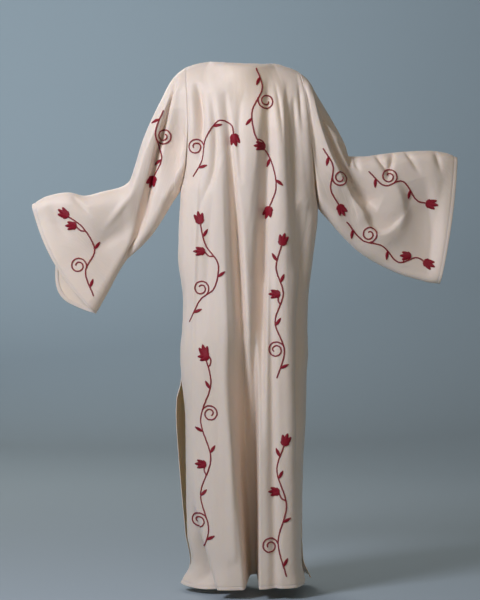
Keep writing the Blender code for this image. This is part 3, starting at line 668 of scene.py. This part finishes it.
# The right sleeve
# It is cut, set in and hemmed like the left one. From the elbow on it runs level, so the cloth bunches in a
# tuck at the elbow and hangs in a shallow swag beyond it.
RIGHT_SLEEVE = {
    "shoulder point": (-0.180, -0.053, -0.215, -0.424, 0.000, 0.058, 0.048, 0.000, 0.000),
    "upper arm": (-0.211, -0.104, -0.238, -0.450, -0.002, 0.056, 0.045, 0.000, 0.000),
    "middle arm": (-0.244, -0.158, -0.262, -0.477, -0.006, 0.054, 0.042, 0.000, 0.000),
    "lower arm": (-0.272, -0.206, -0.286, -0.503, -0.012, 0.051, 0.036, 0.000, 0.000),
    "above the elbow": (-0.289, -0.240, -0.307, -0.523, -0.017, 0.049, 0.032, 0.000, 0.000),
    "elbow": (-0.299, -0.268, -0.328, -0.541, -0.020, 0.048, 0.030, 0.000, 0.000),
    "forearm": (-0.338, -0.268, -0.366, -0.566, -0.022, 0.046, 0.028, 0.000, 0.000),
    "middle forearm": (-0.395, -0.261, -0.411, -0.589, -0.018, 0.043, 0.027, 0.002, 0.000),
    "lower forearm": (-0.456, -0.255, -0.454, -0.607, -0.012, 0.040, 0.026, 0.004, 0.000),
    "wrist": (-0.524, -0.253, -0.496, -0.619, -0.008, 0.036, 0.025, 0.006, 0.002),
    "hand": (-0.570, -0.259, -0.528, -0.627, -0.006, 0.028, 0.024, 0.006, 0.003),
    "cuff": (-0.603, -0.272, -0.554, -0.630, -0.006, 0.020, 0.022, 0.008, 0.004),
}
RIGHT_SLEEVE_BACK = {
    "edge of the long crease": (
        -0.186, -0.080, -0.246, -0.275, -0.334, -0.426,
        -0.004, -0.020, -0.010, 0.040, 0.005, 0.8, 1.8,
    ),
    "long crease": (
        -0.198, -0.086, -0.262, -0.275, -0.344, -0.402,
        0.003, 0.020, 0.008, 0.007, 0.024, 0.5, 1.6,
    ),
    "swag": (-0.330, -0.420, -0.388, -0.492, -0.470, -0.420, -0.010, -0.016, -0.003, 0.040, 0.008, 1.0, 1.8),
    "hollow above the swag": (
        -0.300, -0.330, -0.346, -0.392, -0.380, -0.420,
        0.004, 0.012, 0.002, 0.012, 0.030, 1.0, 2,
    ),
    "bulge over the swag": (
        -0.392, -0.300, -0.444, -0.400, -0.432, -0.476,
        -0.003, -0.015, -0.004, 0.064, 0.018, 0.8, 2,
    ),
    "elbow tuck": (
        -0.276, -0.228, -0.290, -0.262, -0.304, -0.300,
        0.012, 0.020, 0.001, 0.006, 0.006, 1.0, 1.6,
    ),
    "second elbow tuck": (
        -0.312, -0.262, -0.316, -0.290, -0.330, -0.318,
        0.006, 0.007, 0.001, 0.006, 0.008, 1.0, 1.6,
    ),
    "arm wrinkle": (
        -0.218, -0.136, -0.234, -0.164, -0.258, -0.186,
        0.004, 0.009, 0.003, 0.006, 0.005, 1.0, 1.6,
    ),
    "second arm wrinkle": (
        -0.232, -0.146, -0.250, -0.182, -0.276, -0.214,
        0.003, 0.007, 0.002, 0.005, 0.006, 1.0, 1.6,
    ),
    "first ripple": (
        -0.374, -0.262, -0.390, -0.292, -0.418, -0.336,
        0.008, 0.014, 0.002, 0.007, 0.008, 1.0, 1.6,
    ),
    "second ripple": (
        -0.420, -0.258, -0.414, -0.292, -0.402, -0.344,
        0.008, 0.013, 0.002, 0.008, 0.006, 1.0, 1.6,
    ),
    "third ripple": (
        -0.455, -0.255, -0.474, -0.284, -0.494, -0.320,
        0.005, 0.009, 0.001, 0.006, 0.008, 1.0, 1.6,
    ),
    "fourth ripple": (
        -0.540, -0.254, -0.547, -0.278, -0.556, -0.316,
        0.004, 0.008, 0.001, 0.009, 0.007, 1.0, 1.6,
    ),
    "hollow in the hanging cloth": (
        -0.500, -0.330, -0.524, -0.460, -0.512, -0.600,
        0.004, 0.026, 0.014, 0.095, 0.030, 0.8, 2,
    ),
    "wave by the cuff": (
        -0.566, -0.330, -0.548, -0.430, -0.530, -0.560,
        0.001, 0.004, 0.002, 0.012, 0.016, 1.0, 2,
    ),
}
RIGHT_SLEEVE_FRONT = {
    "long crease": (
        -0.195, -0.110, -0.262, -0.290, -0.330, -0.450,
        0.005, 0.018, 0.008, 0.012, 0.012, 0.7, 1.6,
    ),
    "forearm hollow": (
        -0.420, -0.330, -0.440, -0.430, -0.430, -0.520,
        0.002, 0.010, 0.002, 0.022, 0.022, 1.0, 2,
    ),
    "elbow tuck": (
        -0.290, -0.256, -0.300, -0.284, -0.314, -0.310,
        0.008, 0.010, 0.001, 0.007, 0.007, 1.0, 1.6,
    ),
    "forearm ripple": (
        -0.430, -0.258, -0.436, -0.290, -0.450, -0.330,
        0.004, 0.006, 0.001, 0.008, 0.008, 1.0, 1.6,
    ),
}
right = sleeve(armhole_of(False), RIGHT_SLEEVE, RIGHT_SLEEVE_BACK, RIGHT_SLEEVE_FRONT, seed=31)
right_out = facing(right, tube=True, side=-1.0)
right_hemmed = from_underarm(turned_in(drawn_in(right, right_out, sides=False), right_out))
right_satin = satin("cream satin of the right sleeve", CREAM)
right_cloth = sew("right_sleeve", right_hemmed, flip=False, tube=True, material=right_satin)
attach(right_cloth, "root")
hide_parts("sleeve_right")

# The embroidery on the back
# Dark red thread is worked over the cloth by hand: vines and tendrils in chain stitch, leaves and tulip
# buds filled with satin stitch laid side by side.
THREAD = 0.0009  # radius of the thread
LINK = 0.0046  # length of a chain stitch
LINK_WIDE = 0.0013  # half its width
TENDRIL_TURNS = 1.65


def cloth_shell(points):
    """What a needle meets when it comes down on the cloth from behind."""
    rows, columns = points.shape[:2]
    corners = [
        (r * columns + c, (r + 1) * columns + c, (r + 1) * columns + c + 1, r * columns + c + 1)
        for r in range(rows - 1)
        for c in range(columns - 1)
    ]
    return BVHTree.FromPolygons([Vector(p) for p in points.reshape(-1, 3)], corners)


def laid(shell, x, z):
    """The place on the cloth at x and z, seen from behind, and its outward direction."""
    place, normal = shell.ray_cast(Vector((x, 1.0, z)), Vector((0.0, -1.0, 0.0)))[:2]
    if place is None:
        return None
    return np.array(place), np.array(normal if normal.y > 0 else -normal)


def curve_through(waypoints, step=0.0015):
    """A smooth line in x and z through the waypoints."""
    p = np.asarray(waypoints, float)
    p = np.concatenate([[2 * p[0] - p[1]], p, [2 * p[-1] - p[-2]]])
    line = []
    for a, b, c, d in zip(p, p[1:], p[2:], p[3:]):
        count = max(int(np.linalg.norm(c - b) / step), 2)
        t = np.linspace(0.0, 1.0, count, endpoint=False)[:, None]
        bend = (2 * a - 5 * b + 4 * c - d) * t**2
        twist = (3 * b - a - 3 * c + d) * t**3
        line.append(0.5 * (2 * b + (c - a) * t + bend + twist))
    return np.concatenate(line + [p[-2:-1]])


def on_vine(line, at):
    """The place at a distance along a line, and the direction there."""
    along = np.concatenate([[0.0], np.cumsum(np.linalg.norm(np.diff(line, axis=0), axis=1))])
    here, ahead = (
        np.array([np.interp(at + more, along, line[:, axis]) for axis in range(2)]) for more in (0.0, 0.004)
    )
    return here, np.arctan2(*(ahead - here)[::-1])


def tendril(line, at, side, size):
    """A line that leaves a vine to one side and winds in on itself. size is its first radius."""
    here, angle = on_vine(line, at)
    steps = 90
    turn = side * 2 * np.pi * TENDRIL_TURNS / steps
    angle += side * 0.25
    places = [here]
    for t in np.linspace(0.0, 1.0, steps):
        radius = size * (1.0 - t) ** 0.75 + 0.0040
        places.append(places[-1] + abs(turn) * radius * np.array([np.cos(angle), np.sin(angle)]))
        angle += turn
    return np.array(places)


def side_stem(line, at, side, length):
    """A short stem that leaves a vine to one side and bends back along it."""
    here, angle = on_vine(line, at)
    places = [here]
    for t in np.linspace(0.0, 1.0, 12):
        bend = angle + side * (1.15 - 1.5 * t)
        places.append(places[-1] + length / 12 * np.array([np.cos(bend), np.sin(bend)]))
    return np.array(places)


def strand(curve, places, closed=False):
    spline = curve.splines.new("POLY")
    spline.points.add(len(places) - 1)
    for point, place in zip(spline.points, places):
        point.co = (*place, 1.0)
        point.radius = THREAD
    spline.use_cyclic_u = closed
    spline.use_smooth = True


def chain_stitch(curve, shell, line):
    """Chain stitches along a line of x and z."""
    spots = [laid(shell, x, z) for x, z in line]
    spots = [spot for spot in spots if spot is not None]
    places = np.array([spot[0] for spot in spots])
    normals = np.array([spot[1] for spot in spots])
    along = np.concatenate([[0.0], np.cumsum(np.linalg.norm(np.diff(places, axis=0), axis=1))])
    count = int(along[-1] / LINK)
    hand = np.random.default_rng(count)
    turn = np.linspace(0.0, 2 * np.pi, 8, endpoint=False)
    for k in range(count):
        start, end = k * LINK, (k + 1.25) * LINK
        at = (start + end) / 2 + (end - start) / 2 * -np.cos(turn)
        at = np.minimum(at, along[-1])
        middle = np.stack([np.interp(at, along, places[:, axis]) for axis in range(3)], axis=1)
        out = unit(np.stack([np.interp(at, along, normals[:, axis]) for axis in range(3)], axis=1))
        ends = [np.interp([start, min(end, along[-1])], along, places[:, axis]) for axis in range(3)]
        forward = unit(np.array([pair[1] - pair[0] for pair in ends]))
        aside = unit(np.cross(out, forward))
        wide = LINK_WIDE * hand.uniform(0.8, 1.2) * np.sin(turn)[:, None] + hand.uniform(-0.0004, 0.0004)
        lift = THREAD * (0.75 + 0.5 * (1 - np.cos(turn)) / 2)[:, None]
        strand(curve, middle + aside * wide + out * lift, closed=True)


def satin_stitch(curve, shell, base, angle, length, width, shape, raised=0.0012):
    """A leaf or petal filled with threads laid side by side. shape gives its half width along its length."""
    forward = np.array([np.cos(angle), np.sin(angle)])
    aside = np.array([-forward[1], forward[0]])
    count = int(length / (THREAD * 1.75))
    for k in range(count):
        t = (k + 0.5) / count
        half = width / 2 * shape(t)
        middle = np.asarray(base) + forward * length * t
        places = []
        for s in (-1.0, -0.5, 0.0, 0.5, 1.0):
            spot = laid(shell, *(middle + aside * half * s + forward * 0.0022 * abs(s)))
            if spot is None:
                break
            places.append(spot[0] + spot[1] * (THREAD * 0.6 + raised * (1 - s * s)))
        else:
            strand(curve, places)


def leaf_shape(t):
    return np.sin(np.pi * t**0.85) ** 0.8


def petal_shape(t):
    return np.sin(np.pi * (0.12 + 0.88 * t) ** 0.7) ** 0.6


def bud(curve, shell, base, angle, size):
    """A tulip bud: a petal in the middle over one on each side, on two small leaves."""
    for turn in (0.95, -0.95):
        satin_stitch(curve, shell, base, angle + turn, size * 0.40, size * 0.17, leaf_shape)
    for turn, length in ((0.40, 0.86), (-0.40, 0.86), (0.0, 1.0)):
        satin_stitch(curve, shell, base, angle + turn, size * length, size * 0.40, petal_shape, 0.0018)


def vine(curve, shell, waypoints, growth, apart, size):
    """A stem in chain stitch through the waypoints, with what growth names to each side of it in turn."""
    line = curve_through(waypoints)
    chain_stitch(curve, shell, line)
    length = np.linalg.norm(np.diff(line, axis=0), axis=1).sum()
    side = 1
    for k, at in enumerate(np.arange(0.45 * apart, length - 0.5 * apart, apart)):
        kind = growth[k % len(growth)]
        if kind == "tendril":
            chain_stitch(curve, shell, tendril(line, at, side, 0.60 * size))
        if kind == "bud":
            stem = side_stem(line, at, side, size)
            chain_stitch(curve, shell, stem)
            bud(curve, shell, *on_vine(stem, 2 * size), 0.95 * size)
        if kind == "leaf":
            here, angle = on_vine(line, at)
            satin_stitch(curve, shell, here, angle + side * 0.75, 0.75 * size, 0.26 * size, leaf_shape)
        side = -side
    bud(curve, shell, *on_vine(line, length - 0.004), 1.05 * size)


def thread_material(name):
    material = bpy.data.materials.new(name)
    material.use_nodes = True
    shader = material.node_tree.nodes["Principled BSDF"]
    shader.inputs["Base Color"].default_value = (0.270, 0.006, 0.022, 1.0)
    shader.inputs["Roughness"].default_value = 0.45
    shader.inputs["Specular IOR Level"].default_value = 0.35
    return material


def thread_work(name):
    curve = bpy.data.curves.new(name, "CURVE")
    curve.dimensions = "3D"
    curve.bevel_depth = 1.0  # times each point's radius
    curve.bevel_resolution = 1
    curve.use_fill_caps = True
    curve.materials.append(thread_material("dark red thread of the " + name.replace("_", " ")))
    work = bpy.data.objects.new(name, curve)
    bpy.context.scene.collection.objects.link(work)
    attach(work, "root")
    return work


BACK_VINES = {
    "up the left side": (
        (0.112, -1.366), (0.098, -1.305), (0.120, -1.214), (0.092, -1.114),
        (0.120, -1.009), (0.092, -0.909), (0.108, -0.830),
    ),
    "over the left hip": (
        (0.152, -0.737), (0.122, -0.676), (0.083, -0.643), (0.072, -0.576),
        (0.108, -0.521), (0.122, -0.460),
    ),
    "from the left armhole": (
        (0.142, -0.332), (0.117, -0.288), (0.106, -0.227), (0.072, -0.180),
        (0.036, -0.190), (0.028, -0.220),
    ),
    "from the neck": (
        (-0.033, -0.030), (-0.050, -0.088), (-0.022, -0.155), (-0.033, -0.227),
        (-0.072, -0.282), (-0.089, -0.360), (-0.070, -0.420),
    ),
    "over the right hip": (
        (-0.091, -0.892), (-0.111, -0.815), (-0.086, -0.737), (-0.108, -0.659),
        (-0.089, -0.587), (-0.105, -0.521),
    ),
    "up the right side": (
        (-0.116, -1.436), (-0.094, -1.342), (-0.116, -1.242), (-0.091, -1.147),
        (-0.111, -1.074),
    ),
}
BACK_GROWTH = ("leaf", "tendril", "leaf", "bud", "leaf")
back_shell = cloth_shell(back)
back_work = thread_work("back_embroidery")
for waypoints in BACK_VINES.values():
    vine(back_work.data, back_shell, waypoints, BACK_GROWTH, apart=0.062, size=0.032)

# The embroidery on the left sleeve
# One vine climbs from the hanging corner of the cuff to the forearm and another runs down the upper arm, in
# the same thread and stitches as the back's.
LEFT_VINES = {
    "up from the hanging corner": (
        (0.424, -0.665), (0.447, -0.597), (0.422, -0.535), (0.453, -0.473),
        (0.498, -0.439),
    ),
    "down the upper arm": ((0.226, -0.144), (0.249, -0.207), (0.232, -0.275), (0.255, -0.330)),
}
LEFT_GROWTH = ("leaf", "tendril", "leaf", "bud")
left_shell = cloth_shell(left[:, : ARMHOLE_ROWS + 1])
left_work = thread_work("left_sleeve_embroidery")
for waypoints in LEFT_VINES.values():
    vine(left_work.data, left_shell, waypoints, LEFT_GROWTH, apart=0.058, size=0.032)

# The embroidery on the right sleeve
# Three vines in the same thread and stitches as the back's. One follows the lower edge to the cuff, one
# comes down from the top of the level part and one from the shoulder.
RIGHT_VINES = {
    "along the lower edge": (
        (-0.289, -0.456), (-0.334, -0.507), (-0.391, -0.524), (-0.436, -0.569),
        (-0.486, -0.556), (-0.512, -0.568),
    ),
    "down from the forearm": (
        (-0.351, -0.314), (-0.396, -0.354), (-0.447, -0.342), (-0.487, -0.393),
        (-0.518, -0.402),
    ),
    "from the shoulder": ((-0.221, -0.252), (-0.249, -0.303), (-0.243, -0.365), (-0.268, -0.412)),
}
RIGHT_GROWTH = ("leaf", "tendril", "leaf", "bud")
right_shell = cloth_shell(right[:, : ARMHOLE_ROWS + 1])
right_work = thread_work("right_sleeve_embroidery")
for waypoints in RIGHT_VINES.values():
    vine(right_work.data, right_shell, waypoints, RIGHT_GROWTH, apart=0.060, size=0.032)

# The studio
# A pale floor that sweeps up into a round pale wall. A soft light stands beside the gown on the camera's
# left, a low warm one to the camera's right, one lights the gown's front and one the wall, with a weak
# light from all round.
FLOOR = -1.500
WALL_AWAY = 8.0
SWEEP = 4.5
WALL_TOP = 5.0
bm = bmesh.new()
profile = [bm.verts.new((0.0, 0.0, FLOOR)), bm.verts.new((WALL_AWAY - SWEEP, 0.0, FLOOR))]
for k in range(1, 13):
    angle = np.pi / 2 * k / 12
    profile.append(bm.verts.new((
        WALL_AWAY - SWEEP + SWEEP * np.sin(angle), 0.0, FLOOR + SWEEP * (1 - np.cos(angle))
    )))
profile.append(bm.verts.new((WALL_AWAY, 0.0, WALL_TOP)))
edges = [bm.edges.new(pair) for pair in zip(profile, profile[1:])]
bmesh.ops.spin(
    bm, geom=profile + edges, cent=(0, 0, 0), axis=(0, 0, 1), dvec=(0, 0, 0), angle=2 * np.pi, steps=72,
    use_merge=True, use_duplicate=False,
)
bmesh.ops.remove_doubles(bm, verts=bm.verts, dist=1e-5)
bmesh.ops.recalc_face_normals(bm, faces=bm.faces)
for face in bm.faces:
    face.smooth = True
sweep_mesh = bpy.data.meshes.new("studio_sweep")
bm.to_mesh(sweep_mesh)
bm.free()
paper = bpy.data.materials.new("pale paper")
paper.use_nodes = True
paper.node_tree.nodes["Principled BSDF"].inputs["Base Color"].default_value = (0.34, 0.43, 0.50, 1.0)
paper.node_tree.nodes["Principled BSDF"].inputs["Roughness"].default_value = 0.9
sweep_mesh.materials.append(paper)
sweep = bpy.data.objects.new("studio_sweep", sweep_mesh)
bpy.context.scene.collection.objects.link(sweep)

LIGHTS = {
    "key": ((1.58, 1.66, 0.62), (0.0, 0.0, 0.20), 0.8, 52.0, (0.96, 0.92, 1.0)),
    "fill": ((-1.2, 4.5, -0.8), (0.0, 0.0, -1.3), 1.6, 21.0, (1.0, 0.68, 0.40)),
    "front": ((1.6, -3.6, 1.6), (0.0, 0.0, -0.6), 2.0, 54.0, (1.0, 0.93, 0.84)),
    "wall": ((1.2, -3.6, 2.2), (1.6, -8.0, 2.8), 3.0, 105.0, (0.95, 0.98, 1.0)),
}
for name, (place, aim, size, power, colour) in LIGHTS.items():
    lamp = bpy.data.lights.new(name, "AREA")
    lamp.shape = "DISK"
    lamp.size = size
    lamp.energy = power
    lamp.color = colour
    holder = bpy.data.objects.new(name, lamp)
    holder.location = place
    holder.rotation_euler = (Vector(aim) - Vector(place)).to_track_quat("-Z", "Y").to_euler()
    bpy.context.scene.collection.objects.link(holder)

world = bpy.data.worlds.new("weak light from all round")
world.use_nodes = True
world.node_tree.nodes["Background"].inputs["Color"].default_value = (1.0, 0.89, 0.76, 1.0)
world.node_tree.nodes["Background"].inputs["Strength"].default_value = 0.24
bpy.context.scene.world = world
bpy.context.scene.view_settings.view_transform = "Standard"

# The camera
# It stands level behind the gown, five metres away, with the whole of it in the frame.
camera_data = bpy.data.cameras.new("camera")
camera_data.lens = 106.0
camera_data.sensor_width = 36.0
camera = bpy.data.objects.new("camera", camera_data)
camera.location = (0.0113, 5.0, -0.676)
camera.rotation_euler = (np.pi / 2, 0.0, np.pi)
bpy.context.scene.collection.objects.link(camera)
bpy.context.scene.camera = camera
